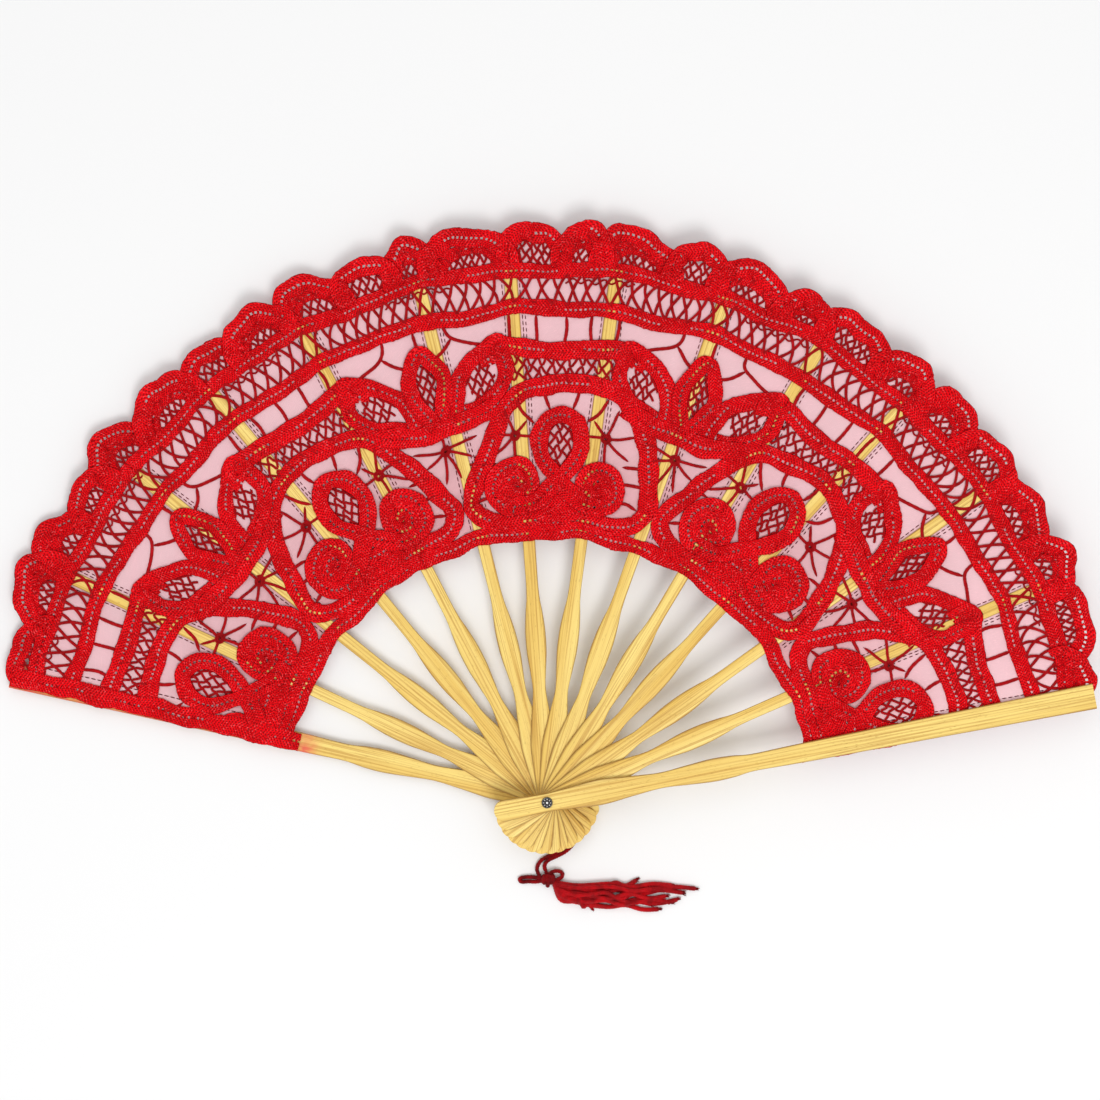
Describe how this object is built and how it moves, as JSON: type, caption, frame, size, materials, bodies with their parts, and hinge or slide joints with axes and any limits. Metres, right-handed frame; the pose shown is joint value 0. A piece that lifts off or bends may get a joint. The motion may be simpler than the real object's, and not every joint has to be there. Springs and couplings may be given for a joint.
{
  "type": "folding hand fan",
  "caption": "Folding hand fan with wavy bamboo sticks on one rivet, a pleated red tape-lace leaf with a sheer lining, and a cord tassel.",
  "frame": {"origin": "middle of the rivet's tail, on the surface that the open fan lies on", "axes": "+Z along the rivet towards the fan's front; +Y the way the open fan spreads; +X across the spread, towards the front guard"},
  "size_m": [0.4148, 0.2608, 0.0204],
  "materials": {
    "bamboo": "split bamboo, planed and lightly polished, with lengthwise grain",
    "guard_bamboo": "split bamboo outer layer, planed and lightly polished",
    "red_lace": "cotton tape lace with needle-made net fillings, dyed red",
    "sheer_lining": "thin plain-woven pale pink lining",
    "rivet_metal": "stamped plated steel, darkened in the recesses",
    "tassel_cord": "twisted viscose cord, dyed crimson"
  },
  "bodies": {
    "rear_guard": {"rear_guard": "guard_bamboo", "rivet_pin": "rivet_metal", "rivet_rosette": "rivet_metal", "tassel_cord": "tassel_cord", "tassel_knot": "tassel_cord", "tassel_bow_left": "tassel_cord", "tassel_bow_right": "tassel_cord", "tassel_skirt": "tassel_cord", "lace_01": "red_lace", "lining_01": "sheer_lining"},
    "stick_01": {"stick_01": "bamboo", "lace_02": "red_lace", "lining_02": "sheer_lining"},
    "stick_02": {"stick_02": "bamboo", "lace_03": "red_lace", "lining_03": "sheer_lining"},
    "stick_03": {"stick_03": "bamboo", "lace_04": "red_lace", "lining_04": "sheer_lining"},
    "stick_04": {"stick_04": "bamboo", "lace_05": "red_lace", "lining_05": "sheer_lining"},
    "stick_05": {"stick_05": "bamboo", "lace_06": "red_lace", "lining_06": "sheer_lining"},
    "stick_06": {"stick_06": "bamboo", "lace_07": "red_lace", "lining_07": "sheer_lining"},
    "stick_07": {"stick_07": "bamboo", "lace_08": "red_lace", "lining_08": "sheer_lining"},
    "stick_08": {"stick_08": "bamboo", "lace_09": "red_lace", "lining_09": "sheer_lining"},
    "stick_09": {"stick_09": "bamboo", "lace_10": "red_lace", "lining_10": "sheer_lining"},
    "stick_10": {"stick_10": "bamboo", "lace_11": "red_lace", "lining_11": "sheer_lining"},
    "stick_11": {"stick_11": "bamboo", "lace_12": "red_lace", "lining_12": "sheer_lining"},
    "stick_12": {"stick_12": "bamboo", "lace_13": "red_lace", "lining_13": "sheer_lining"},
    "front_guard": {"front_guard": "guard_bamboo"}
  },
  "joints": [
    {"name": "fold_01", "type": "hinge", "parent": "rear_guard", "child": "stick_01", "pos_m": [0, 0, 0.01], "axis": [0, 0, 1], "range_deg": [0, 12], "deforming": ["lace_01", "lining_01"]},
    {"name": "fold_02", "type": "hinge", "parent": "stick_01", "child": "stick_02", "pos_m": [0, 0, 0.01], "axis": [0, 0, 1], "range_deg": [0, 13.5], "deforming": ["lace_02", "lining_02"]},
    {"name": "fold_03", "type": "hinge", "parent": "stick_02", "child": "stick_03", "pos_m": [0, 0, 0.01], "axis": [0, 0, 1], "range_deg": [0, 12], "deforming": ["lace_03", "lining_03"]},
    {"name": "fold_04", "type": "hinge", "parent": "stick_03", "child": "stick_04", "pos_m": [0, 0, 0.01], "axis": [0, 0, 1], "range_deg": [0, 12], "deforming": ["lace_04", "lining_04"]},
    {"name": "fold_05", "type": "hinge", "parent": "stick_04", "child": "stick_05", "pos_m": [0, 0, 0.01], "axis": [0, 0, 1], "range_deg": [0, 13.5], "deforming": ["lace_05", "lining_05"]},
    {"name": "fold_06", "type": "hinge", "parent": "stick_05", "child": "stick_06", "pos_m": [0, 0, 0.01], "axis": [0, 0, 1], "range_deg": [0, 10], "deforming": ["lace_06", "lining_06"]},
    {"name": "fold_07", "type": "hinge", "parent": "stick_06", "child": "stick_07", "pos_m": [0, 0, 0.01], "axis": [0, 0, 1], "range_deg": [0, 11.5], "deforming": ["lace_07", "lining_07"]},
    {"name": "fold_08", "type": "hinge", "parent": "stick_07", "child": "stick_08", "pos_m": [0, 0, 0.01], "axis": [0, 0, 1], "range_deg": [0, 12], "deforming": ["lace_08", "lining_08"]},
    {"name": "fold_09", "type": "hinge", "parent": "stick_08", "child": "stick_09", "pos_m": [0, 0, 0.01], "axis": [0, 0, 1], "range_deg": [0, 11.5], "deforming": ["lace_09", "lining_09"]},
    {"name": "fold_10", "type": "hinge", "parent": "stick_09", "child": "stick_10", "pos_m": [0, 0, 0.01], "axis": [0, 0, 1], "range_deg": [0, 11], "deforming": ["lace_10", "lining_10"]},
    {"name": "fold_11", "type": "hinge", "parent": "stick_10", "child": "stick_11", "pos_m": [0, 0, 0.01], "axis": [0, 0, 1], "range_deg": [0, 12.5], "deforming": ["lace_11", "lining_11"]},
    {"name": "fold_12", "type": "hinge", "parent": "stick_11", "child": "stick_12", "pos_m": [0, 0, 0.01], "axis": [0, 0, 1], "range_deg": [0, 12], "deforming": ["lace_12", "lining_12"]},
    {"name": "fold_13", "type": "hinge", "parent": "stick_12", "child": "front_guard", "pos_m": [0, 0, 0.01], "axis": [0, 0, 1], "range_deg": [0, 12.5], "deforming": ["lace_13", "lining_13"]}
  ],
  "couplings": [
    {"joint": "fold_02", "follows": "fold_01", "ratio": 1.125},
    {"joint": "fold_03", "follows": "fold_01", "ratio": 1},
    {"joint": "fold_04", "follows": "fold_01", "ratio": 1},
    {"joint": "fold_05", "follows": "fold_01", "ratio": 1.125},
    {"joint": "fold_06", "follows": "fold_01", "ratio": 0.83333},
    {"joint": "fold_07", "follows": "fold_01", "ratio": 0.95833},
    {"joint": "fold_08", "follows": "fold_01", "ratio": 1},
    {"joint": "fold_09", "follows": "fold_01", "ratio": 0.95833},
    {"joint": "fold_10", "follows": "fold_01", "ratio": 0.91666},
    {"joint": "fold_11", "follows": "fold_01", "ratio": 1.0417},
    {"joint": "fold_12", "follows": "fold_01", "ratio": 1},
    {"joint": "fold_13", "follows": "fold_01", "ratio": 1.0417}
  ]
}
